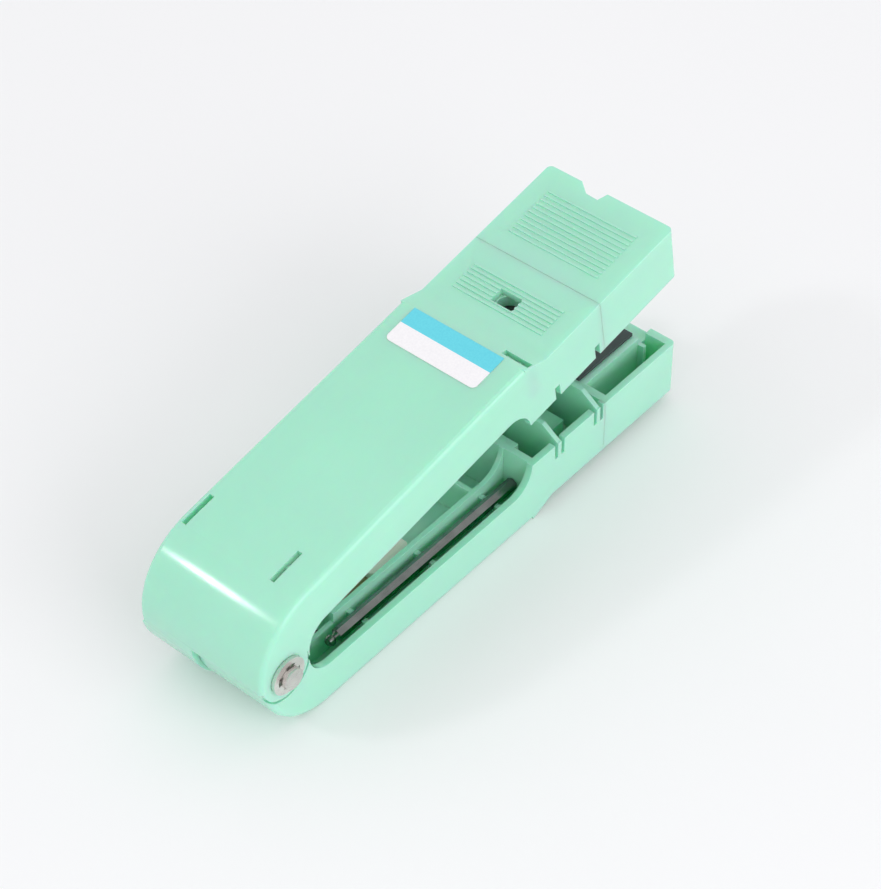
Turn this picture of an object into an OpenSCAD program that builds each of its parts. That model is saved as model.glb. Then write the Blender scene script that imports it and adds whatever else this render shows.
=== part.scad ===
// Fibre stripper: a hand-held plier of two moulded arms on one hinge pin.
// The front jaws grip the fibre between rubber pads, and two notched blades
// behind them part the coating.  Drawn at rest: standing on the lower arm's
// flat underside with the upper arm sprung open.  +X is the jaw end, +Y is
// the far side, Z = 0 is the surface that it rests on.

/* [Body] */
// Width across the side walls
body_w = 27; // [26:0.5:29]
// Height of the lower arm, from the rest to the parting plane
lower_h = 13.5; // [13:0.25:14.5]
// Height of the upper arm over the parting plane
upper_h = 14; // [13.5:0.25:15]
// From the hinge axis to the front of the jaws
reach = 102; // [101:0.5:104]
// Step in height between handle and jaw, above and below
jaw_step = 2.2; // [1.8:0.1:2.6]
// Wall of the shells
wall = 1.3; // [1.1:0.1:1.4]
// Radius along the long edges of the handles
edge_r = 1; // [0.6:0.1:1.2]

/* [Hinge] */
// Height of the hinge axis
hinge_z = 14.8; // [14.6:0.1:15]
// Angle between the arms at rest
open_deg = 9.5; // [8:0.5:9.5]
// Diameter of the hinge pin
pin_d = 4; // [3.6:0.1:4.2]
// Outside diameter of the retaining clips
clip_d = 7; // [6.4:0.1:7.4]
// Radius of the boss that the upper arm has round the pin
boss_r = 5.1; // [4.9:0.1:5.2]

/* [Jaws] */
// From the hinge axis to the joint between shell and jaw cap
split_x = 81.6; // [81.2:0.1:82]
// Offset of the fibre's line from the middle of the tool
fibre_y = 3.5; // [3:0.1:4]
// Height of the fibre over the parting plane
fibre_rise = 0.5; // [0.4:0.05:0.6]

/* [Stored tools] */
// Width across the flats of the hexagon wrench
wrench_af = 2; // [1.9:0.05:2]
// Length of the wrench without its ball
wrench_l = 45.3; // [40:0.1:45.4]

/* [Hidden] */

$fn = 48;
eps = 0.01;
mint = "#a8e6cd";
steel = "#a9abab";
dark_steel = "#6d7274";
rubber = "#333b3b";
cream = "#e9e1d3";
straw = "#b9ab78";

half_w = body_w / 2;
inner_w = half_w - wall;
part_z = lower_h;
top_z = lower_h + upper_h;
fibre_z = part_z + fibre_rise;
shut_gap = 0.05;

// tails: both arms end in a round about one centre height
tail_up = [8.3, part_z];
tail_low = [9.2, part_z];
// seams at the tail, in each arm's own closed position
seam_low = part_z + 0.3;
seam_up = part_z + 1.4;

// side window between the arms: a slot with round ends
window_r = 5;
window_x = [hinge_z - 4.4, 56.5];

// ramp between handle and jaw
ramp_x = [62.0, 67.2];
// wall that closes the handle in front
bulkhead_x = 61.7;

// thin guide fins behind the jaw, and the slots that free them
fin_x = [69, 79.8];
fin_t = 0.9;
fin_slot = 0.85;
fin_rise = 2.4;
fin_slope = 3.7;
slot_depth = 3.3;

// blade stations
blade_x = 77;
blade_t = 0.4;
clamp_t = 1;
holder_x = 70.2;
adjust_x = 73.4;
post_y = 9.6;
low_screw = [72.6, 5.6];

// pads
pad_x = [83, 98.4];
pad_w = 13;

// middle of the tool along X, so that the origin is under its centre
tail_rest = rest_point(tail_up) - [upper_h, 0];
mid_x = (reach + tail_rest[0]) / 2;

// where a point of the closed upper arm lies at rest
function rest_point(p) =
    let (c = cos(open_deg), s = sin(open_deg), u = p[0], v = p[1] - hinge_z)
    [u * c - v * s, hinge_z + u * s + v * c];

// ---- placing -------------------------------------------------------------

// puts a part drawn from the hinge axis into the tool's own frame
module lower_frame() translate([-mid_x, 0, 0]) children();

// the same, with the upper arm opened to rest
module upper_frame()
    lower_frame()
        translate([0, 0, hinge_z]) rotate([0, -open_deg, 0])
            translate([0, 0, -hinge_z]) children();

// a side outline, drawn in X and Z, given a width and a place along Y
module across(w, y = 0)
    translate([0, y, 0]) rotate([90, 0, 0])
        linear_extrude(w, center = true) children();

// both sides of the tool
module both_sides() for (s = [-1, 1]) scale([1, s, 1]) children();

// a box from its two corners
module box(a, b) translate(a) cube(b - a);

// a rod along Y
module rod_y(d, l, x = 0, y = 0, z = 0)
    translate([x, y, z]) rotate([90, 0, 0]) cylinder(d = d, h = l, center = true);

// ---- shared outlines -----------------------------------------------------

// the long window that the closed arms leave in each side
module window() {
    for (x = window_x) translate([x, part_z]) circle(window_r);
    translate([window_x[0], part_z - window_r])
        square([window_x[1] - window_x[0], 2 * window_r]);
}

// what the two arms share: a straight handle with a ramp to the jaw, as an
// outline whose outer face is h from the parting plane, dir = 1 up, -1 down
module arm_outline(tail, h, dir, inset, x1) {
    y0 = h - inset;
    y1 = h - jaw_step - inset;
    translate([0, part_z]) scale([1, dir]) {
        intersection() {
            translate([tail[0], 0]) circle(y0);
            translate([-50, 0]) square([50 + tail[0], 50]);
        }
        polygon([[tail[0], 0], [tail[0], y0], [ramp_x[0], y0],
            [ramp_x[1], y1], [x1, y1], [x1, 0]]);
    }
}

// takes the radius off one long edge of a handle and round its tail
module edge_cutter(tail, h, dir) {
    r = edge_r;
    translate([0, 0, part_z]) scale([1, 1, dir]) both_sides() {
        translate([tail[0], half_w - r, h - r]) difference() {
            cube([ramp_x[0] - tail[0], r + 1, r + 1]);
            rotate([0, 90, 0]) cylinder(r = r, h = 2 * reach, center = true);
        }
        translate([tail[0], half_w - r, 0]) rotate([-90, 0, 0])
            rotate([0, 0, 180]) rotate_extrude(angle = 90)
                difference() {
                    translate([h - r, 0]) square(r + 1);
                    translate([h - r, 0]) circle(r);
                }
    }
}

// ---- lower arm -----------------------------------------------------------

module lower_outline() {
    arm_outline(tail_low, lower_h, -1, 0, split_x);
    // the tail's skin stands a little over the parting plane
    intersection() {
        translate(tail_low) circle(lower_h);
        translate([-10, part_z - eps]) square([14, seam_low - part_z + eps]);
    }
}

// hollow of the handle and of the jaw behind the cap
module lower_hollow() {
    difference() {
        union() {
            arm_outline(tail_low, lower_h, -1, wall, split_x + 1);
            translate([-2, part_z - eps]) square([100, 5]);
            intersection() {
                translate(tail_low) circle(lower_h - wall);
                translate([-10, part_z - eps]) square([14, 5]);
            }
        }
        translate([bulkhead_x, -1]) square([wall, 20]);
    }
}

// a guide fin across the jaw, notched for the fibre, with sloped shoulders
module fin(x)
    translate([x - fin_t / 2, 0, 0]) rotate([90, 0, 90]) linear_extrude(fin_t)
        difference() {
            top = part_z + fin_rise;
            polygon([[-half_w, jaw_step + eps], [-half_w, part_z - 0.2],
                [-half_w + fin_slope, top], [half_w - fin_slope, top],
                [half_w, part_z - 0.2], [half_w, jaw_step + eps]]);
            polygon([[fibre_y, fibre_z - 0.1], [fibre_y - 2.5, top + eps],
                [fibre_y + 2.5, top + eps]]);
        }

// slots through the side wall beside each fin
module fin_slots()
    for (x = fin_x, s = [-1, 1], side = [-1, 1])
        translate([x + s * (fin_t + fin_slot) / 2,
            side * (half_w - wall / 2), part_z - slot_depth / 2 + 1])
            cube([fin_slot, wall + 0.6, slot_depth + 2], center = true);

// ears that carry the pin, inside the upper arm's bosses
module hinge_ears() {
    ear_r = 4;
    both_sides() across(2, inner_w - 1.2)
        intersection() {
            union() {
                translate([0, hinge_z]) circle(ear_r);
                translate([-ear_r, wall / 2]) square([2 * ear_r, hinge_z - wall / 2]);
            }
            translate(tail_low) circle(lower_h - eps);
        }
}

// space that the upper arm's tail tongue sweeps
module tongue_way() {
    c = rest_point(tail_up);
    across(half_w - tongue_y + 0.6, (half_w + tongue_y) / 2 + 0.1)
        difference() {
            translate([-12, tongue_z - 0.4]) square([16, 20]);
            translate(c) circle(upper_h - wall - 0.35);
        }
}

// the tongue runs from here to the far side, and down to this height
tongue_y = 2.1;
tongue_z = 4.5;

// storage: a channel for the wrench along the near side, a tray for the brush
channel_y = -6.9;
module storage_walls() {
    t = 0.9;
    intersection() {
        union() {
            box([18, channel_y, wall / 2], [bulkhead_x + eps, channel_y + t, part_z]);
            box([11, channel_y, wall / 2], [18 + eps, channel_y + t, 6.4]);
            for (x = [20.4, 53.6])
                box([x, channel_y, wall / 2], [x + t, inner_w + eps, part_z]);
        }
        across(body_w) arm_outline(tail_low, lower_h, -1, eps, split_x);
    }
    // cradles that the wrench lies in
    for (x = [21, 38, 55]) difference() {
        box([x, -inner_w - eps, wall / 2], [x + 1, channel_y + eps, wrench_at[1] + 0.2]);
        box([x - 1, wrench_at[0] - wrench_c / 2 - 0.1, wrench_at[1] - wrench_c / 2 - 0.02],
            [x + 2, wrench_at[0] + wrench_c / 2 + 0.1, 20]);
    }
}

module lower_shell() color(mint) lower_frame() difference() {
    union() {
        difference() {
            across(body_w) lower_outline();
            across(2 * inner_w) lower_hollow();
            edge_cutter(tail_low, lower_h, -1);
        }
        storage_walls();
        for (x = fin_x) fin(x);
        // rest for the fibre behind the blades
        box([63.6, -7.5, jaw_step], [65, 7.5, part_z - 1.2]);
        hinge_ears();
    }
    across(body_w + 1) window();
    fin_slots();
    // hollows round the upper arm's bosses
    both_sides() rod_y(2 * boss_r + 1, 3, 0, inner_w + 1.4, hinge_z);
    rod_y(pin_d + 0.04, body_w, 0, 0, hinge_z);
    tongue_way();
    // way for the jaw cap's tongue through the front fin
    box([fin_x[1] - 1, -8.1, jaw_step + wall - eps],
        [fin_x[1] + 1, 8.1, jaw_step + wall + 1.9]);
    both_sides() low_screw_hole(2.2);
}

// countersunk hole from below for the holder's screws
module low_screw_hole(d) {
    translate([low_screw[0], low_screw[1], -1]) cylinder(d = d, h = 10);
    translate([low_screw[0], low_screw[1], jaw_step - eps])
        cylinder(d1 = 4.3, d2 = d, h = 1);
}

// plan of a jaw cap, with rounded front corners
module cap_plan() {
    r = 1;
    for (s = [-1, 1]) translate([reach - r, s * (half_w - r)]) circle(r);
    translate([split_x + shut_gap, -half_w]) square([reach - r - split_x - shut_gap, body_w]);
    translate([reach - 2 * r, -half_w + r]) square([2 * r, body_w - 2 * r]);
}

front_wall = 1.6;
bed_w = 15.8;

module lower_jaw_cap() color(mint) lower_frame() {
    z0 = jaw_step;
    difference() {
        translate([0, 0, z0]) linear_extrude(part_z - z0) cap_plan();
        // open pockets beside the pad's bed
        both_sides() box([split_x + 1.6, bed_w / 2, z0 + wall],
            [reach - front_wall, inner_w + 0.1, part_z + 1]);
        // seat of the pad, open to the front
        box([pad_x[0], -pad_w / 2 - 0.05, part_z - 1.5], [pad_x[1] + 0.1, pad_w / 2 + 0.05, part_z + 1]);
        box([pad_x[1], -bed_w / 2, part_z - 1.4], [reach + 1, bed_w / 2, part_z + 1]);
        // the bed is hollow from below, on ribs
        for (i = [0 : 3])
            box([split_x + 3 + i * 4.3, -bed_w / 2 + 1.1, z0 - 1],
                [split_x + 6.4 + i * 4.3, bed_w / 2 - 1.1, part_z - 3]);
    }
    // stop ribs in the pockets
    both_sides() box([98.2, bed_w / 2 - eps, z0 + wall / 2], [99, bed_w / 2 + 1.3, part_z - 1.2]);
    // tongue that lies on the shell's floor
    difference() {
        box([holder_x + 0.3, -8, z0 + wall + 0.02], [split_x + 1, 8, z0 + wall + 1.8]);
        both_sides() low_screw_hole(2.2);
    }
}

module lower_jaw_pad() color(rubber) lower_frame()
    box([pad_x[0] + 0.02, -pad_w / 2, part_z - 1.5], [pad_x[1], pad_w / 2, fibre_z]);

// block that carries the lower blade; its round post meets the gap screw
lower_bed_z = jaw_step + wall + 1.82;
module lower_blade_holder() color(mint) lower_frame() difference() {
    union() {
        box([holder_x, -8, lower_bed_z], [blade_x, 8, 9.4]);
        box([blade_x - 1.8, fibre_y - 4.6, 9.3], [blade_x, fibre_y + 4.4, part_z - 0.9]);
        translate([adjust_x, 0, 9.3]) cylinder(d = 4.4, h = part_z - 0.5 - 9.3);
    }
    both_sides() translate([low_screw[0], low_screw[1], 0]) cylinder(d = 2.04, h = 8.7);
    for (s = [-1, 1]) clamp_hole(s, 10.2, 1.4, 1.64);
}

// bore along X for a blade-clamp screw, measured back from the blade
module clamp_hole(side, z, depth, d)
    translate([blade_x - depth, fibre_y + side * 2.9, z]) rotate([0, 90, 0])
        cylinder(d = d, h = depth + 3);

// a blade: a thin plate ground to an edge, with the fibre's notch in it
module blade(z0, edge_z, dir) difference() {
    box([blade_x, fibre_y - 4.2, min(z0, edge_z)],
        [blade_x + blade_t, fibre_y + 4.2, max(z0, edge_z)]);
    // ground bevel on the front face
    translate([0, 0, edge_z]) scale([1, 1, dir]) across(body_w)
        polygon([[blade_x + 0.05, 0.01], [blade_x + blade_t + 1, 0.01],
            [blade_x + blade_t + 1, -1.1], [blade_x + blade_t + eps, -1.1]]);
    translate([blade_x - 1, fibre_y, edge_z]) rotate([90, 0, 90]) linear_extrude(3)
        scale([1, dir]) polygon([[0, -0.35], [0.35, 0.1], [-0.35, 0.1]]);
}

module lower_blade() color(steel) lower_frame() difference() {
    blade(7.4, fibre_z, 1);
    for (s = [-1, 1]) clamp_hole(s, 10.2, 1, 1.8);
}

module clamp_plate(z0, z1, screw_z) difference() {
    box([blade_x + blade_t, fibre_y - 4.6, z0], [blade_x + blade_t + clamp_t, fibre_y + 4.4, z1]);
    for (s = [-1, 1]) clamp_hole(s, screw_z, 1, 1.8);
}

// screws of a blade clamp: round heads with a cross recess left to the look
module clamp_screw(side, z)
    translate([blade_x + blade_t + clamp_t, fibre_y + side * 2.9, z])
        rotate([0, -90, 0]) {
            translate([0, 0, -0.1]) cylinder(d = 1.6, h = 2.7);
            translate([0, 0, -0.77]) cylinder(d = 2.9, h = 0.75);
        }

module lower_blade_clamp() color(steel) lower_frame() clamp_plate(7.2, 12.3, 10.2);

module lower_clamp_screws() color(dark_steel) lower_frame()
    for (s = [-1, 1]) clamp_screw(s, 10.2);

module lower_holder_screws() color(dark_steel) lower_frame() both_sides()
    translate([low_screw[0], low_screw[1], jaw_step + 0.05]) {
        cylinder(d = 2, h = 6.2);
        cylinder(d1 = 4, d2 = 2, h = 1);
    }

// ---- hinge ---------------------------------------------------------------

clip_y = half_w + 0.12;
clip_t = 0.6;
groove_d = 3;
pin_end = clip_y + clip_t + 1.1;

// the pin, turned: two grooves and domed ends
module hinge_pin() color(steel) lower_frame()
    translate([0, 0, hinge_z]) rotate([90, 0, 0]) difference() {
        intersection() {
            cylinder(d = pin_d, h = 2 * pin_end, center = true);
            for (s = [-1, 1]) translate([0, 0, s * (pin_end - 3.4)]) union() {
                sphere(3.4, $fn = 64);
                translate([0, 0, -s * 15]) cylinder(r = 4, h = 30, center = true);
            }
        }
        for (s = [-1, 1]) translate([0, 0, s * (clip_y + clip_t / 2)]) difference() {
            cylinder(d = pin_d + 1, h = clip_t + 0.06, center = true);
            cylinder(d = groove_d, h = 2, center = true);
        }
    }

// an E-shaped retaining clip: a ring with three lugs and an open mouth
module retaining_clip(side)
    translate([0, side * (clip_y + clip_t / 2), hinge_z]) rotate([90, 0, 0])
        rotate([0, 0, clip_turn]) linear_extrude(clip_t, center = true)
            difference() {
                circle(d = clip_d);
                difference() {
                    circle(d = clip_d * 0.7);
                    for (a = [0, 90, 180]) rotate(a)
                        translate([0, -0.75]) square([clip_d / 2, 1.5]);
                }
                circle(d = groove_d + 0.04);
                translate([-1.25, -clip_d]) square([2.5, clip_d]);
            }
clip_turn = 35;

module near_retaining_clip() color(steel) lower_frame() retaining_clip(-1);
module far_retaining_clip() color(steel) lower_frame() retaining_clip(1);

// torsion spring: a close coil on the pin with a leg to each arm
wire_d = 0.75;
coil_r = 2.44;
coil_from = 48.6;
coil_to = 315 + 360 * 8;
leg_l = 22.4;
coil_steps = 180;

function coil_point(a) =
    let (y = -4.3 + 8.6 * (a - coil_from) / (coil_to - coil_from))
    [coil_r * cos(a), y, hinge_z + coil_r * sin(a)];
function along(a) = [-sin(a), 0, cos(a)];
function unit(v) = v / norm(v);
coil = [for (i = [0 : coil_steps]) coil_point(coil_from + (coil_to - coil_from) * i / coil_steps)];
wire_path = concat([coil[0] - leg_l * along(coil_from)], coil,
    [coil[coil_steps] + leg_l * along(coil_to)]);

// a round wire along a list of points
module wire(path, d, n = 8) {
    last = len(path) - 1;
    pts = [for (i = [0 : last])
        let (t = unit(path[min(i + 1, last)] - path[max(i - 1, 0)]),
            u = unit(cross(t, [0, 1, 0])), v = cross(t, u))
        for (k = [0 : n - 1])
            path[i] + d / 2 * (cos(360 * k / n) * u + sin(360 * k / n) * v)];
    sides = [for (i = [0 : last - 1], k = [0 : n - 1])
        let (a = i * n + k, b = i * n + (k + 1) % n) [a, a + n, b + n, b]];
    start = [for (k = [0 : n - 1]) k];
    end = [for (k = [n - 1 : -1 : 0]) last * n + k];
    polyhedron(pts, concat(sides, [start, end]));
}

module torsion_spring() color(dark_steel) lower_frame() wire(wire_path, wire_d);

// ---- upper arm -----------------------------------------------------------

module upper_outline() {
    difference() {
        arm_outline(tail_up, upper_h, 1, 0, split_x);
        translate([-20, part_z - 1]) square([25.2, seam_up - part_z + 1]);
        translate([0, part_z - 1]) square([reach, 1 + shut_gap]);
    }
}

// the boss round the pin, within the tail's round
module boss_outline() intersection() {
    translate([0, hinge_z]) circle(boss_r);
    translate(tail_up) circle(upper_h);
}

module upper_hollow() {
    difference() {
        arm_outline(tail_up, upper_h, 1, wall, split_x + 1);
        translate([bulkhead_x, part_z + 1.5]) square([wall, 20]);
    }
}

// the tongue at the tail, which meets the lower arm when fully open
module tail_tongue()
    across(half_w - tongue_y - 0.2, (half_w + tongue_y - 0.2) / 2)
        intersection() {
            difference() {
                translate(tail_up) circle(upper_h);
                translate(tail_up) circle(upper_h - wall);
            }
            translate([-10, tongue_z]) square([13, seam_up - tongue_z + 0.5]);
        }

// rows of small raised grip ribs across the top
module grip_ribs(x0, x1, n, w)
    for (i = [0 : n - 1])
        translate([x0 + (x1 - x0) * i / (n - 1), 0, top_z - jaw_step])
            cube([0.45, w, 0.5], center = true);

// two slots near the tail and one at the ramp
module upper_slots() {
    for (y = [-7.2, 12]) box([6.7, y - 0.5, part_z + 5], [13.4, y + 0.5, top_z + 1]);
    box([63, -13.1, part_z + 6], [64.3, -7.5, top_z + 1]);
}

module upper_ribs() {
    t = 0.9;
    for (y = [channel_y, 7.3]) box([16, y, top_z - 4.5], [bulkhead_x + eps, y + t, top_z - wall / 2]);
    for (x = [22, 38, 54]) box([x, -inner_w - eps, top_z - 4], [x + t, inner_w + eps, top_z - wall / 2]);
    // posts for the holder's screws
    both_sides() translate([adjust_x + 1, post_y, 21])
        cylinder(d = 4.6, h = top_z - jaw_step - wall / 2 - 21);
}

module upper_shell() color(mint) upper_frame() difference() {
    union() {
        difference() {
            union() {
                difference() {
                    across(body_w) upper_outline();
                    across(body_w + 1) window();
                }
                both_sides() across(wall, half_w - wall / 2) boss_outline();
                tail_tongue();
            }
            across(2 * inner_w) upper_hollow();
            edge_cutter(tail_up, upper_h, 1);
        }
        upper_ribs();
        grip_ribs(70.9, 76.7, 7, 19.3);
    }
    upper_slots();
    rod_y(pin_d + 0.12, body_w + 2, 0, 0, hinge_z);
    // notches in the side walls that take the guide fins
    for (x = fin_x, s = [-1, 1])
        translate([x, s * half_w, part_z + 1]) cube([1.3, 4, 3.6], center = true);
    // square access hole over the gap screw
    box([adjust_x - 1.55, -2.3, 20], [adjust_x + 1.5, 2.3, top_z]);
    both_sides() translate([adjust_x + 1, post_y, 20]) cylinder(d = 2.04, h = 3.8);
}

module upper_jaw_cap() color(mint) upper_frame() {
    z1 = top_z - jaw_step;
    bed_z = fibre_z + 1.5;
    difference() {
        translate([0, 0, part_z + shut_gap])
            linear_extrude(z1 - part_z - shut_gap) difference() {
                cap_plan();
                // entry notch for the fibre
                polygon([[reach + 1, 6.9], [reach, 6.3], [reach - 1.9, 3.9],
                    [reach - 2, 1.4], [reach, 0.7], [reach + 1, 0.5]]);
            }
        box([pad_x[0] - 0.05, -inner_w, part_z - 1], [reach - front_wall - 0.6, inner_w, z1 - wall]);
        // the front wall clears the fibre
        box([reach - 4, -bed_w / 2, part_z - 1], [reach + 1, bed_w / 2, fibre_z + 1.2]);
    }
    grip_ribs_on_cap();
    // bed of the pad, on ribs from the top
    box([pad_x[0], -bed_w / 2, bed_z], [pad_x[1], bed_w / 2, bed_z + 1.4]);
    for (s = [-1, 1]) translate([0, s * (bed_w / 2 - 0.5), 0])
        box([split_x + 1, -0.5, bed_z], [reach - 2, 0.5, z1 - wall / 2]);
    for (i = [0 : 3]) box([pad_x[0] + 1 + i * 4.2, -bed_w / 2, bed_z],
        [pad_x[0] + 1.9 + i * 4.2, bed_w / 2, z1 - wall / 2]);
    // arms that reach back to the shell's posts
    both_sides() difference() {
        box([adjust_x - 1.4, post_y - 2.2, 19.32], [split_x + 2, post_y + 2.2, 20.98]);
        translate([adjust_x + 1, post_y, 18]) cylinder(d = 2.2, h = 5);
    }
}

module grip_ribs_on_cap() grip_ribs(86, 96.8, 11, 19.2);

module upper_jaw_pad() color(rubber) upper_frame()
    box([pad_x[0] + 0.02, -pad_w / 2, fibre_z + shut_gap], [pad_x[1], pad_w / 2, fibre_z + 1.5]);

module upper_blade_holder() color(mint) upper_frame() difference() {
    union() {
        box([holder_x, -7.2, 17.6], [blade_x, 7.2, top_z - jaw_step - wall]);
        box([holder_x + 1.6, -11.7, 17.6], [blade_x - 0.4, 11.7, 19.3]);
        box([blade_x - 1.8, fibre_y - 4.6, fibre_z + 0.9], [blade_x, fibre_y + 4.4, 17.7]);
    }
    // thread of the gap screw
    translate([adjust_x, 0, 10]) cylinder(d = pin_d + 0.04, h = 20);
    both_sides() translate([adjust_x + 1, post_y, 15]) cylinder(d = 2.2, h = 10);
    for (s = [-1, 1]) clamp_hole(s, 17.2, 1.4, 1.64);
}

module upper_blade() color(steel) upper_frame() difference() {
    blade(19.2, fibre_z + shut_gap, -1);
    for (s = [-1, 1]) clamp_hole(s, 17.2, 1, 1.8);
}

module upper_blade_clamp() color(steel) upper_frame() clamp_plate(15.4, 19.2, 17.2);

module upper_clamp_screws() color(dark_steel) upper_frame()
    for (s = [-1, 1]) clamp_screw(s, 17.2);

module upper_holder_screws() color(dark_steel) upper_frame() both_sides()
    translate([adjust_x + 1, post_y, 16.4]) {
        cylinder(d = 2, h = 7);
        cylinder(d = 3.8, h = 1.2);
    }

// set screw that limits how far the blades close
module gap_screw() color(dark_steel) upper_frame()
    translate([adjust_x, 0, part_z - 0.5 + shut_gap]) difference() {
        union() {
            cylinder(d = pin_d, h = 8.6);
            translate([0, 0, 0]) cylinder(d = 2, h = 1);
        }
        difference() {
            translate([0, 0, -eps]) cylinder(d = 6, h = 0.9);
            translate([0, 0, -0.1]) cylinder(d1 = 1.6, d2 = pin_d, h = 1);
        }
        translate([0, 0, 6.2]) cylinder(d = hex_d(2.05), h = 3, $fn = 6);
    }

// ---- stored tools --------------------------------------------------------

function hex_d(af) = af / cos(30);
wrench_c = hex_d(wrench_af);
wrench_at = [-9.1, 6.5];
wrench_x = 16.2;

// hexagon wrench with a ball end at the hinge end
module hex_wrench() color(dark_steel) lower_frame()
    translate([wrench_x, wrench_at[0], wrench_at[1]]) rotate([0, 90, 0]) {
        cylinder(d = wrench_c, h = wrench_l, $fn = 6);
        rotate_extrude() difference() {
            polygon([[0, -2.4], [0.5, -2.3], [0.85, -2.05], [1, -1.7], [1, -1.3],
                [0.85, -1], [0.62, -0.75], [0.62, -0.45], [0.95, 0.05], [0, 0.05]]);
            translate([-1, -3]) square([1, 4]);
        }
    }

// cleaning brush: a short moulded block with bristles at one end
brush_x = [29.5, 39];
brush_y = [-5.7, 4.3];
brush_top = 7;
brush_floor = wall + 0.02;
module brush_handle() color(cream) lower_frame() {
    c = 1.1;
    x0 = brush_x[0];
    x1 = brush_x[1];
    y0 = brush_y[0];
    y1 = brush_y[1];
    difference() {
        translate([0, 0, brush_floor]) linear_extrude(brush_top - brush_floor)
            polygon([[x0, y0 + c], [x0 + c, y0], [x1 - c, y0], [x1, y0 + c],
                [x1, y1 - c], [x1 - c, y1], [x0 + c, y1], [x0, y1 - c]]);
        // finger scallop across the top
        translate([(x0 + x1) / 2 + 1, (y0 + y1) / 2, brush_top + 5.4])
            rotate([90, 0, 0]) cylinder(r = 6, h = y1 - y0 - 2.4, center = true);
        // pocket that holds the bristles
        box([x0 - 1, y0 + 1.6, brush_floor + 1.1], [x0 + 2, y1 - 1.6, brush_top - 1.4]);
    }
}

module brush_bristles() color(straw) lower_frame()
    box([brush_x[0] - 6.6, brush_y[0] + 1.62, brush_floor + 1.12],
        [brush_x[0] + 1.98, brush_y[1] - 1.62, brush_top - 1.42]);

// ---- build ---------------------------------------------------------------

lower_shell();
lower_jaw_cap();
lower_jaw_pad();
lower_blade_holder();
lower_blade();
lower_blade_clamp();
lower_clamp_screws();
lower_holder_screws();
hinge_pin();
near_retaining_clip();
far_retaining_clip();
torsion_spring();
upper_shell();
upper_jaw_cap();
upper_jaw_pad();
upper_blade_holder();
upper_blade();
upper_blade_clamp();
upper_clamp_screws();
upper_holder_screws();
gap_screw();
hex_wrench();
brush_handle();
brush_bristles();
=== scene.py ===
"""Dresses the packed fibre stripper and sets it on a pale studio floor.

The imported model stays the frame: every piece here rides on one of its bodies.
Lengths are in metres, in the tool's own frame: +X towards the jaws, +Y to the
far side, +Z up, with the floor at Z = 0.
"""

import logging
import math
import random
from dataclasses import dataclass, field
from enum import Enum

import bmesh
import bpy
from mathutils import Matrix, Vector


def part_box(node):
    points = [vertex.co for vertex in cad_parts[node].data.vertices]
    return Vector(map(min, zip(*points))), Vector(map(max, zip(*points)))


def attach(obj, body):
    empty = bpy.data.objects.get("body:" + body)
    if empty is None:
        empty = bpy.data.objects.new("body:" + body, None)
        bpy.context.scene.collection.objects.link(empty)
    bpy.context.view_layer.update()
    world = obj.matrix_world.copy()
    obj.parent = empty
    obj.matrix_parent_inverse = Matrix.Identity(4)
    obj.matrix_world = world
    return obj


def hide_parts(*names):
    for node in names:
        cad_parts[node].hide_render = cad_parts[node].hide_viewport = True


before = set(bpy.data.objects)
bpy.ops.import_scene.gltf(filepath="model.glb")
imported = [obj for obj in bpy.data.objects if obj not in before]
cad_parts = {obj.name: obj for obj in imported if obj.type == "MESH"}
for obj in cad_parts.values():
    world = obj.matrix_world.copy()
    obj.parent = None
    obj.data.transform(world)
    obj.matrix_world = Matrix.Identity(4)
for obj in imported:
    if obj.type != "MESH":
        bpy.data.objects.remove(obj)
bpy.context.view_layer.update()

LOG = logging.getLogger("stripper")
MM = 0.001
WELD = 0.001 * MM
FLAT = math.radians(0.5)
Colour = tuple[float, float, float]


def srgb(red: int, green: int, blue: int) -> Colour:
    """Turns a display colour into the linear colour that a shader takes.

    Args:
        red: Red from 0 to 255.
        green: Green from 0 to 255.
        blue: Blue from 0 to 255.

    Returns:
        The linear red, green and blue.
    """

    def linear(value: int) -> float:
        """Undoes the display curve for one channel."""
        v = value / 255
        return v / 12.92 if v <= 0.04045 else ((v + 0.055) / 1.055) ** 2.4

    return linear(red), linear(green), linear(blue)


# ---- the tool's own measures ------------------------------------------------


@dataclass(frozen=True)
class Hinge:
    """Where the arms turn, and how far the upper one stands open at rest."""

    x: float = -48.2004 * MM
    z: float = 14.8 * MM
    open_angle: float = math.radians(9.5)

    def upper(self) -> Matrix:
        """The turn that takes the closed upper arm to its rest."""
        pivot = Vector((self.x, 0, self.z))
        turn = Matrix.Rotation(-self.open_angle, 4, "Y")
        return Matrix.Translation(pivot) @ turn @ Matrix.Translation(-pivot)


HINGE = Hinge()


# ---- finishes ---------------------------------------------------------------


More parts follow.
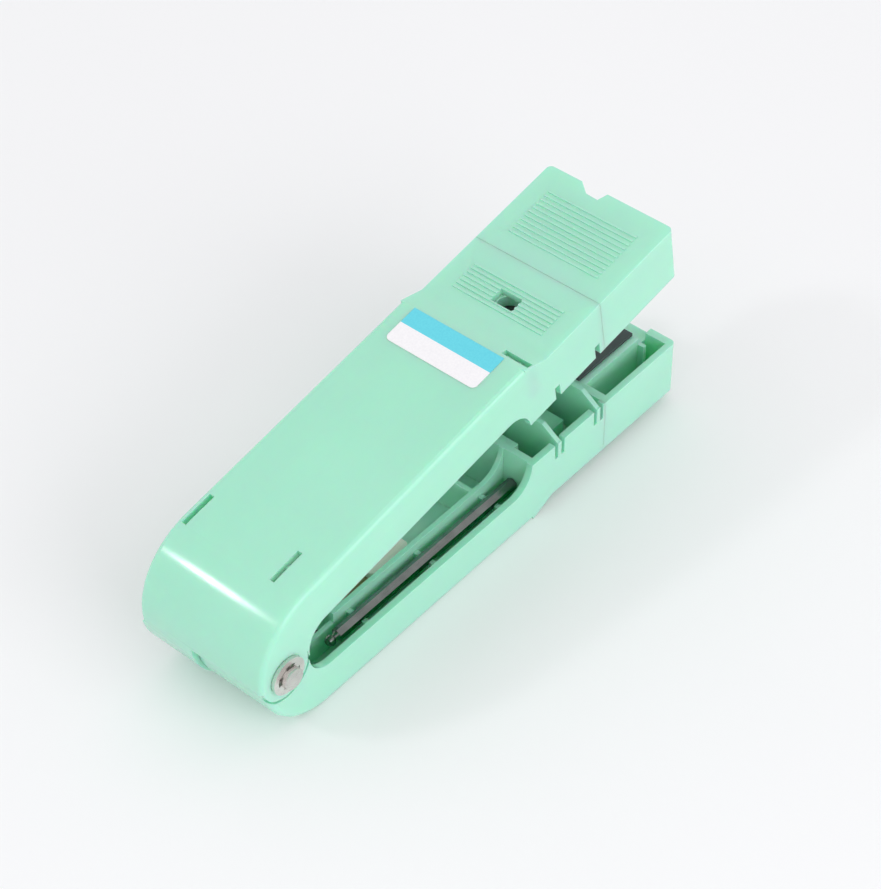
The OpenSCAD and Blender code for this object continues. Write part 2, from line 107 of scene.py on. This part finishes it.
class ShaderBench:
    """Builds one material's nodes, with short names for the usual steps."""

    def __init__(self, name: str) -> None:
        """Starts a material with an empty tree but for its shader.

        Args:
            name: The material's name.
        """
        self.material = bpy.data.materials.new(name)
        self.material.use_nodes = True
        self.tree = self.material.node_tree
        self.shader = self.tree.nodes["Principled BSDF"]
        self.coords = self.tree.nodes.new("ShaderNodeTexCoord")

    def node(self, kind: str, **values: object) -> bpy.types.Node:
        """Adds a node and sets its properties and sockets.

        Args:
            kind: The node's type.
            **values: Properties by name; sockets where no property has the name.

        Returns:
            The new node.
        """
        made = self.tree.nodes.new(kind)
        for key, value in values.items():
            if hasattr(made, key):
                setattr(made, key, value)
            else:
                made.inputs[key.replace("_", " ")].default_value = value
        return made

    def link(self, source: bpy.types.NodeSocket, target: bpy.types.NodeSocket) -> None:
        """Joins two sockets."""
        self.tree.links.new(source, target)

    def where(self, scale: tuple[float, float, float] = (1, 1, 1)) -> bpy.types.NodeSocket:
        """Object coordinates, stretched by a scale.

        Args:
            scale: How much each axis is stretched.

        Returns:
            The vector socket.
        """
        mapping = self.node("ShaderNodeMapping", Scale=scale)
        self.link(self.coords.outputs["Object"], mapping.inputs["Vector"])
        return mapping.outputs["Vector"]

    def noise(self, scale: float, detail: float = 2.0,
              stretch: tuple[float, float, float] = (1, 1, 1)) -> bpy.types.NodeSocket:
        """A noise field in the tool's frame.

        Args:
            scale: Cells per metre.
            detail: Octaves.
            stretch: How much each axis is stretched first.

        Returns:
            The field's value socket.
        """
        made = self.node("ShaderNodeTexNoise", Scale=scale, Detail=detail, Roughness=0.55)
        self.link(self.where(stretch), made.inputs["Vector"])
        return made.outputs["Fac"]

    def ramp(self, value: bpy.types.NodeSocket, low: float, high: float,
             to_low: float, to_high: float) -> bpy.types.NodeSocket:
        """Maps a value from one range to another, held at its ends.

        Args:
            value: The value.
            low: Start of its range.
            high: End of its range.
            to_low: What the start becomes.
            to_high: What the end becomes.

        Returns:
            The mapped socket.
        """
        made = self.node("ShaderNodeMapRange")
        for key, number in zip(("From Min", "From Max", "To Min", "To Max"),
                               (low, high, to_low, to_high)):
            made.inputs[key].default_value = number
        self.link(value, made.inputs["Value"])
        return made.outputs["Result"]

    def blend(self, first: Colour, second: Colour,
              share: bpy.types.NodeSocket) -> bpy.types.NodeSocket:
        """Mixes two colours.

        Args:
            first: Colour at a share of 0.
            second: Colour at a share of 1.
            share: The share.

        Returns:
            The colour socket.
        """
        made = self.node("ShaderNodeMix", data_type="RGBA")
        made.inputs[6].default_value = (*first, 1)
        made.inputs[7].default_value = (*second, 1)
        self.link(share, made.inputs[0])
        return made.outputs[2]

    def bump(self, height: bpy.types.NodeSocket, depth: float,
             below: bpy.types.NodeSocket | None = None) -> bpy.types.NodeSocket:
        """Turns a height field into a normal.

        Args:
            height: The field, from 0 to 1.
            depth: How high 1 stands, in metres.
            below: A normal that this one goes on top of.

        Returns:
            The normal socket.
        """
        made = self.node("ShaderNodeBump", Strength=1.0, Distance=depth)
        self.link(height, made.inputs["Height"])
        if below is not None:
            self.link(below, made.inputs["Normal"])
        return made.outputs["Normal"]


@dataclass(frozen=True)
class MouldedPlastic:
    """Injection-moulded plastic: a tint, fine grain, slow waves, some gloss.

    Noise scales are cells per metre. Grain and waves are heights in millimetres.
    Where translucency is above 0, light also scatters under the skin, and a
    share of it passes through the walls.
    """

    name: str
    tint: Colour
    shade: Colour
    roughness: float = 0.3
    smoother: float = 0.05
    rougher: float = 0.07
    grain: float = 0.006
    waves: float = 0.05
    cloud_scale: float = 38
    rub_scale: float = 420
    wave_scale: float = 85
    grain_scale: float = 4200
    ior: float = 1.5
    coat: float = 0.0
    coat_roughness: float = 0.12
    translucency: float = 0.0
    scatter_radius: tuple[float, float, float] = (0.35, 1.0, 0.65)
    scatter_depth: float = 2.2 * MM
    through: Colour = (0.02, 0.92, 0.34)
    through_share: float = 0.17

    def make(self) -> bpy.types.Material:
        """Builds the material.

        Returns:
            The material.
        """
        bench = ShaderBench(self.name)
        cloud = bench.ramp(bench.noise(self.cloud_scale, 3), 0.3, 0.7, 0, 1)
        bench.link(bench.blend(self.tint, self.shade, cloud), bench.shader.inputs["Base Color"])
        rub = bench.ramp(bench.noise(self.rub_scale, 4), 0.3, 0.7,
                         self.roughness - self.smoother, self.roughness + self.rougher)
        bench.link(rub, bench.shader.inputs["Roughness"])
        slow = bench.bump(bench.noise(self.wave_scale, 1), self.waves * MM)
        fine = bench.bump(bench.noise(self.grain_scale, 2), self.grain * MM, slow)
        bench.link(fine, bench.shader.inputs["Normal"])
        bench.shader.inputs["IOR"].default_value = self.ior
        bench.shader.inputs["Coat Weight"].default_value = self.coat
        bench.shader.inputs["Coat Roughness"].default_value = self.coat_roughness
        if self.translucency:
            bench.shader.inputs["Subsurface Weight"].default_value = self.translucency
            bench.shader.inputs["Subsurface Radius"].default_value = self.scatter_radius
            bench.shader.inputs["Subsurface Scale"].default_value = self.scatter_depth
            self.let_light_through(bench, fine)
        return bench.material

    def let_light_through(self, bench: ShaderBench, normal: bpy.types.NodeSocket) -> None:
        """Passes some light through the walls, so that the hollows look deep green.

        Args:
            bench: The material's bench.
            normal: The normal that the shader uses.
        """
        through = bench.node("ShaderNodeBsdfTranslucent", Color=(*self.through, 1))
        bench.link(normal, through.inputs["Normal"])
        both = bench.node("ShaderNodeMixShader")
        both.inputs[0].default_value = self.through_share
        bench.link(bench.shader.outputs["BSDF"], both.inputs[1])
        bench.link(through.outputs["BSDF"], both.inputs[2])
        out = bench.tree.nodes["Material Output"]
        bench.link(both.outputs[0], out.inputs["Surface"])


@dataclass(frozen=True)
class WorkedSteel:
    """Steel with the marks of its making along one axis.

    Lines and patches are cells per metre. Depth is in millimetres.
    """

    name: str
    tint: Colour
    shade: Colour
    roughness: float = 0.28
    smoother: float = 0.06
    rougher: float = 0.1
    lines: float = 2600
    patches: float = 300
    along: tuple[float, float, float] = (0.05, 1, 1)
    depth: float = 0.004

    def make(self) -> bpy.types.Material:
        """Builds the material.

        Returns:
            The material.
        """
        bench = ShaderBench(self.name)
        streaks = bench.noise(self.lines, 3, self.along)
        patch = bench.ramp(bench.noise(self.patches, 2), 0.35, 0.65, 0, 1)
        bench.link(bench.blend(self.tint, self.shade, patch), bench.shader.inputs["Base Color"])
        rub = bench.ramp(streaks, 0.3, 0.7,
                         self.roughness - self.smoother, self.roughness + self.rougher)
        bench.link(rub, bench.shader.inputs["Roughness"])
        bench.link(bench.bump(streaks, self.depth * MM), bench.shader.inputs["Normal"])
        bench.shader.inputs["Metallic"].default_value = 1.0
        return bench.material


@dataclass(frozen=True)
class MattRubber:
    """Dark pad rubber with a fine pebbled skin."""

    name: str
    tint: Colour
    shade: Colour
    roughness: float = 0.62
    dust_scale: float = 160
    pebble_scale: float = 5200
    pebble_height: float = 0.012 * MM

    def make(self) -> bpy.types.Material:
        """Builds the material.

        Returns:
            The material.
        """
        bench = ShaderBench(self.name)
        dust = bench.ramp(bench.noise(self.dust_scale, 4), 0.45, 0.75, 0, 1)
        bench.link(bench.blend(self.tint, self.shade, dust), bench.shader.inputs["Base Color"])
        bench.shader.inputs["Roughness"].default_value = self.roughness
        pebbles = bench.bump(bench.noise(self.pebble_scale, 2), self.pebble_height)
        bench.link(pebbles, bench.shader.inputs["Normal"])
        return bench.material


@dataclass(frozen=True)
class CoatedPaper:
    """A printed sticker's face: paper under a thin clear film."""

    name: str
    ink: Colour
    paper: Colour
    roughness: float = 0.38
    fibre_scale: float = 2600
    ripple_scale: float = 260
    ripple_height: float = 0.02 * MM

    def make(self) -> bpy.types.Material:
        """Builds the material.

        Returns:
            The material.
        """
        bench = ShaderBench(self.name)
        fibres = bench.ramp(bench.noise(self.fibre_scale, 4), 0.35, 0.65, 0, 1)
        bench.link(bench.blend(self.ink, self.paper, fibres), bench.shader.inputs["Base Color"])
        bench.shader.inputs["Roughness"].default_value = self.roughness
        ripples = bench.bump(bench.noise(self.ripple_scale, 2), self.ripple_height)
        bench.link(ripples, bench.shader.inputs["Normal"])
        return bench.material


@dataclass(frozen=True)
class BristleFilament:
    """Stiff filament, some strands darker and some lighter."""

    name: str
    dark: Colour
    light: Colour
    roughness: float = 0.5
    tone_scale: float = 2400

    def make(self) -> bpy.types.Material:
        """Builds the material.

        Returns:
            The material.
        """
        bench = ShaderBench(self.name)
        tone = bench.ramp(bench.noise(self.tone_scale, 1, (0.1, 1, 1)), 0.3, 0.7, 0, 1)
        bench.link(bench.blend(self.dark, self.light, tone), bench.shader.inputs["Base Color"])
        bench.shader.inputs["Roughness"].default_value = self.roughness
        return bench.material


class Finish(Enum):
    """Every finish on the tool."""

    MINT = MouldedPlastic("moulded_mint", srgb(176, 240, 216), srgb(180, 242, 219),
                          roughness=0.17, translucency=0.6, coat=0.5)
    CREAM = MouldedPlastic("moulded_cream", srgb(246, 240, 234), srgb(248, 243, 238),
                           roughness=0.45)
    CLIP_STEEL = WorkedSteel("clip_steel", srgb(226, 223, 219), srgb(212, 209, 205),
                             roughness=0.3, lines=1800, along=(1, 1, 1))
    PIN_STEEL = WorkedSteel("turned_steel", srgb(216, 211, 208), srgb(202, 198, 195),
                            roughness=0.26, lines=5200, along=(0.15, 1, 0.15))
    WRENCH_STEEL = WorkedSteel("polished_wrench", srgb(128, 132, 130), srgb(112, 116, 114),
                               roughness=0.2)
    SCREW_STEEL = WorkedSteel("dark_screw", srgb(96, 98, 98), srgb(80, 82, 82),
                              roughness=0.34, lines=2200, along=(1, 1, 1))
    SPRING_STEEL = WorkedSteel("drawn_wire", srgb(120, 120, 118), srgb(100, 100, 98),
                               roughness=0.3, lines=1500, along=(1, 1, 1))
    BLADE_STEEL = WorkedSteel("ground_blade", srgb(200, 202, 204), srgb(186, 188, 190),
                              roughness=0.22, lines=4200, along=(1, 1, 0.05))
    RUBBER = MattRubber("matt_rubber", srgb(58, 70, 70), srgb(74, 86, 86))
    STICKER_BLUE = CoatedPaper("sticker_blue", srgb(92, 206, 224), srgb(100, 212, 228))
    STICKER_WHITE = CoatedPaper("sticker_white", srgb(238, 236, 240), srgb(244, 242, 245))
    BRISTLE = BristleFilament("stiff_filament", srgb(188, 176, 128), srgb(230, 221, 182))

    def material(self) -> bpy.types.Material:
        """The finish's material, built once."""
        if self not in MADE:
            MADE[self] = self.value.make()
        return MADE[self]


MADE: dict[Finish, bpy.types.Material] = {}


class Slot(Enum):
    """Those of the record's material slots that are named for the pieces made here."""

    MINT = "mint_plastic"
    CREAM = "cream_plastic"
    BRISTLE = "bristle"


# ---- workshop: shared ways of making a piece --------------------------------


def set_finish(piece: bpy.types.Object, *finishes: Finish) -> None:
    """Gives a piece its materials, and keeps which face has which.

    Args:
        piece: The piece.
        *finishes: One finish for each material index.
    """
    held = piece.data.materials
    for index, finish in enumerate(finishes):
        if index < len(held):
            held[index] = finish.material()
        else:
            held.append(finish.material())


def finish_piece(bm: bmesh.types.BMesh, name: str, body: str, slot: Slot,
                 *finishes: Finish, smooth: float = 35.0) -> bpy.types.Object:
    """Turns a finished bmesh into a piece that rides on a body.

    Args:
        bm: The mesh, in the tool's frame. It is freed.
        name: The piece's name.
        body: The body that carries it.
        slot: The record's material slot; not used.
        *finishes: Its finishes.
        smooth: Edges flatter than this many degrees are shaded smooth.

    Returns:
        The piece.
    """
    mesh = bpy.data.meshes.new(name)
    for face in bm.faces:
        face.smooth = True
    bm.to_mesh(mesh)
    bm.free()
    mesh.set_sharp_from_angle(angle=math.radians(smooth))
    piece = bpy.data.objects.new(name, mesh)
    bpy.context.scene.collection.objects.link(piece)
    set_finish(piece, *finishes)
    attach(piece, body)
    LOG.info("%s: %d faces on %s", name, len(mesh.polygons), body)
    return piece


def soften(piece: bpy.types.Object, width: float, segments: int = 2,
           angle: float = 28.0) -> None:
    """Rounds a piece's sharp edges as a mould does.

    Args:
        piece: The piece.
        width: Width of the round.
        segments: Facets across it.
        angle: Only edges sharper than this many degrees are rounded.
    """
    bevel = piece.modifiers.new("soft_edges", "BEVEL")
    bevel.width = width
    bevel.segments = segments
    bevel.limit_method = "ANGLE"
    bevel.angle_limit = math.radians(angle)
    bevel.harden_normals = True
    bevel.use_clamp_overlap = True


def dressed_copy(node: str, body: str, slot: Slot, finish: Finish,
                 edge: float) -> bpy.types.Object:
    """Stands a welded copy with soft edges in for a node.

    Args:
        node: The node.
        body: The body that it belongs to.
        slot: The record's material slot.
        finish: Its finish.
        edge: Width of the round on its edges.

    Returns:
        The piece.
    """
    bm = bmesh.new()
    bm.from_mesh(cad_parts[node].data)
    bmesh.ops.remove_doubles(bm, verts=bm.verts, dist=WELD)
    bmesh.ops.dissolve_limit(bm, angle_limit=FLAT, verts=bm.verts,
                             edges=bm.edges, delimit={"NORMAL"})
    piece = finish_piece(bm, f"{node}_dressed", body, slot, finish)
    soften(piece, edge)
    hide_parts(node)
    return piece


# ---- the tool ---------------------------------------------------------------


@dataclass
class Mouldings:
    """The green mouldings of both arms."""

    edge: float = 0.1 * MM
    nodes: dict[str, str] = field(default_factory=lambda: {
        "lower_shell": "lower_arm",
        "lower_jaw_cap": "lower_arm",
        "lower_blade_holder": "lower_arm",
        "upper_shell": "upper_arm",
        "upper_jaw_cap": "upper_arm",
        "upper_blade_holder": "upper_arm",
    })

    def build(self) -> None:
        """Dresses every moulding."""
        for node, body in self.nodes.items():
            dressed_copy(node, body, Slot.MINT, Finish.MINT, self.edge)


@dataclass
class MetalWork:
    """Pin, clips, spring, blades, screws, wrench and pads, in their nodes' shapes."""

    finishes: dict[str, Finish] = field(default_factory=lambda: {
        "hinge_pin": Finish.PIN_STEEL,
        "near_retaining_clip": Finish.CLIP_STEEL,
        "far_retaining_clip": Finish.CLIP_STEEL,
        "torsion_spring": Finish.SPRING_STEEL,
        "lower_blade": Finish.BLADE_STEEL,
        "upper_blade": Finish.BLADE_STEEL,
        "lower_blade_clamp": Finish.BLADE_STEEL,
        "upper_blade_clamp": Finish.BLADE_STEEL,
        "lower_clamp_screws": Finish.SCREW_STEEL,
        "upper_clamp_screws": Finish.SCREW_STEEL,
        "lower_holder_screws": Finish.SCREW_STEEL,
        "upper_holder_screws": Finish.SCREW_STEEL,
        "gap_screw": Finish.SCREW_STEEL,
        "hex_wrench": Finish.WRENCH_STEEL,
        "lower_jaw_pad": Finish.RUBBER,
        "upper_jaw_pad": Finish.RUBBER,
    })

    def build(self) -> None:
        """Gives every metal node and pad its finish."""
        for node, finish in self.finishes.items():
            set_finish(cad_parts[node], finish)
            LOG.info("%s: %s", node, finish.value.name)


@dataclass
class CleaningBrush:
    """The small brush that lies in the lower arm."""

    edge: float = 0.2 * MM
    strands_across: int = 26
    strands_high: int = 12
    strand_radius: float = 0.075 * MM
    strand_facets: int = 5
    tip: float = 0.55
    uneven: float = 0.5 * MM
    seed: int = 7

    def build(self) -> None:
        """Builds the brush's body and its bristles."""
        dressed_copy("brush_handle", "brush", Slot.CREAM, Finish.CREAM, self.edge)
        self.bristles()

    def row(self, start: float, end: float, index: int, count: int) -> float:
        """Where a strand stands in its row.

        Args:
            start: Where the bristles' space starts.
            end: Where it ends.
            index: The strand's number.
            count: Strands in the row.

        Returns:
            The strand's middle, a strand's width inside the space.
        """
        margin = self.strand_radius * 2
        return start + margin + (end - start - margin * 2) * index / (count - 1)

    def stray(self, place: float, start: float, end: float, chance: random.Random) -> float:
        """Moves a strand a little, and keeps it inside the bristles' space.

        Args:
            place: Where the strand stands.
            start: Where the space starts.
            end: Where it ends.
            chance: The source of chance.

        Returns:
            Where the strand ends up.
        """
        radius = self.strand_radius
        return min(max(place + chance.uniform(-1, 1) * radius, start + radius), end - radius)

    def bristles(self) -> None:
        """Fills the bristles' space with tapered strands."""
        low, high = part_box("brush_bristles")
        chance = random.Random(self.seed)
        bm = bmesh.new()
        lay = Matrix.Rotation(math.pi / 2, 4, "Y")
        for i in range(self.strands_across):
            for k in range(self.strands_high):
                y = self.stray(self.row(low.y, high.y, i, self.strands_across),
                               low.y, high.y, chance)
                z = self.stray(self.row(low.z, high.z, k, self.strands_high),
                               low.z, high.z, chance)
                reach = high.x - low.x - chance.uniform(0, self.uneven)
                place = Matrix.Translation((high.x - reach / 2, y, z)) @ lay
                bmesh.ops.create_cone(bm, cap_ends=True, segments=self.strand_facets,
                                      radius1=self.strand_radius * self.tip,
                                      radius2=self.strand_radius, depth=reach, matrix=place)
        piece = finish_piece(bm, "bristle_tuft", "brush", Slot.BRISTLE, Finish.BRISTLE, smooth=60)
        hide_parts("brush_bristles")


@dataclass
class ServiceSticker:
    """A plain sticker on the upper handle: a blue band beside a white field.

    Its places are measured from the hinge with the arms closed.
    """

    back: float = 54.2 * MM
    band: float = 58.4 * MM
    front: float = 62.1 * MM
    near: float = -9.0 * MM
    far: float = 10.4 * MM
    corner: float = 1.0 * MM
    thickness: float = 0.07 * MM
    plate: float = 27.51 * MM

    def build(self) -> None:
        """Lays the sticker on the plate."""
        bm = bmesh.new()
        blue, white = 0, 1
        for x0, x1, index in ((self.back, self.band, white), (self.band, self.front, blue)):
            made = bmesh.ops.create_grid(bm, x_segments=1, y_segments=1, size=0.5)
            bmesh.ops.scale(bm, vec=(x1 - x0, self.far - self.near, 1), verts=made["verts"])
            bmesh.ops.translate(bm, verts=made["verts"], vec=(
                HINGE.x + (x0 + x1) / 2, (self.far + self.near) / 2, self.plate))
            for face in {f for v in made["verts"] for f in v.link_faces}:
                face.material_index = index
        bmesh.ops.remove_doubles(bm, verts=bm.verts, dist=WELD)
        ends = [v for v in bm.verts if len(v.link_edges) == 2 and v.co.x < HINGE.x + self.band]
        bmesh.ops.bevel(bm, geom=ends, offset=self.corner, segments=6, profile=0.5,
                        affect="VERTICES", material=-1)
        bmesh.ops.solidify(bm, geom=bm.faces[:], thickness=-self.thickness)
        bmesh.ops.recalc_face_normals(bm, faces=bm.faces)
        bmesh.ops.transform(bm, matrix=HINGE.upper(), verts=bm.verts)
        finish_piece(bm, "service_sticker", "upper_arm", Slot.MINT,
                     Finish.STICKER_BLUE, Finish.STICKER_WHITE)


# ---- studio -----------------------------------------------------------------


@dataclass(frozen=True)
class Lamp:
    """A soft box: where it hangs, its sides, and its brightness as watts."""

    name: str
    place: tuple[float, float, float]
    size: tuple[float, float]
    power: float
    aim: tuple[float, float, float] = (0.0, 0.0, 0.02)

    def hang(self) -> None:
        """Puts the lamp in the scene, turned to what it lights."""
        lamp = bpy.data.lights.new(self.name, "AREA")
        lamp.shape = "RECTANGLE"
        lamp.size, lamp.size_y = self.size
        lamp.energy = self.power
        thing = bpy.data.objects.new(self.name, lamp)
        bpy.context.scene.collection.objects.link(thing)
        thing.location = self.place
        thing.rotation_mode = "QUATERNION"
        way = Vector(self.aim) - Vector(self.place)
        thing.rotation_quaternion = way.to_track_quat("-Z", "Y")


@dataclass
class Studio:
    """Floor, light and camera."""

    lamps: tuple[Lamp, ...] = (
        Lamp("window", (-0.64, 0.50, 0.64), (0.11, 0.10), 0.95),
        Lamp("fill", (-0.10, -1.00, 0.48), (0.9, 0.6), 4.5),
    )

    floor_colour: Colour = field(default_factory=lambda: srgb(243, 243, 245))
    floor_shade: float = 0.985
    floor_roughness: float = 0.6
    floor_specular: float = 0.2
    floor_size: float = 3.0
    sky: float = 0.87
    sensor: float = 36.0
    lens: float = 107.35
    camera_place: tuple[float, float, float] = (-0.23498, -0.20967, 0.33544)
    azimuth: float = -48.86
    elevation: float = 45.03
    roll: float = -0.87

    def build(self) -> None:
        """Sets up everything round the tool."""
        self.floor()
        self.world()
        for lamp in self.lamps:
            lamp.hang()
        self.camera()
        bpy.context.scene.view_settings.view_transform = "Standard"

    def floor(self) -> None:
        """Lays a pale floor under the tool."""
        bm = bmesh.new()
        bmesh.ops.create_grid(bm, x_segments=2, y_segments=2, size=self.floor_size)
        mesh = bpy.data.meshes.new("floor")
        bm.to_mesh(mesh)
        bm.free()
        floor = bpy.data.objects.new("floor", mesh)
        bpy.context.scene.collection.objects.link(floor)
        bench = ShaderBench("floor_paper")
        cloud = bench.ramp(bench.noise(6, 2), 0.3, 0.7, 0, 1)
        tint = self.floor_colour
        bench.link(bench.blend(tint, tuple(c * self.floor_shade for c in tint), cloud),
                   bench.shader.inputs["Base Color"])
        bench.shader.inputs["Roughness"].default_value = self.floor_roughness
        bench.shader.inputs["Specular IOR Level"].default_value = self.floor_specular
        mesh.materials.append(bench.material)

    def world(self) -> None:
        """Lights the room evenly."""
        world = bpy.data.worlds.new("room")
        bpy.context.scene.world = world
        world.use_nodes = True
        back = world.node_tree.nodes["Background"]
        back.inputs["Color"].default_value = (1.0, 1.0, 1.0, 1)
        back.inputs["Strength"].default_value = self.sky

    def camera(self) -> None:
        """Stands the camera where the tool is seen from above its tail."""
        data = bpy.data.cameras.new("camera")
        data.sensor_width = self.sensor
        data.lens = self.lens
        data.clip_start, data.clip_end = 0.02, 20.0
        camera = bpy.data.objects.new("camera", data)
        bpy.context.scene.collection.objects.link(camera)
        az, el, roll = (math.radians(a) for a in (self.azimuth, self.elevation, self.roll))
        back = Vector((math.sin(az) * math.cos(el), -math.cos(az) * math.cos(el), math.sin(el)))
        right = Vector((0, 0, 1)).cross(back).normalized()
        up = back.cross(right)
        turned_right = right * math.cos(roll) + up * math.sin(roll)
        turned_up = up * math.cos(roll) - right * math.sin(roll)
        axes = Matrix((turned_right, turned_up, back)).transposed()
        camera.matrix_world = Matrix.Translation(self.camera_place) @ axes.to_4x4()
        bpy.context.scene.camera = camera


def main() -> None:
    """Builds the studio and every sub-assembly in order."""
    logging.basicConfig(level=logging.INFO, format="%(name)s: %(message)s")
    Studio().build()
    for part in (Mouldings(), MetalWork(), CleaningBrush(), ServiceSticker()):
        LOG.info("building %s", type(part).__name__)
        part.build()


if __name__ == "__main__":
    main()
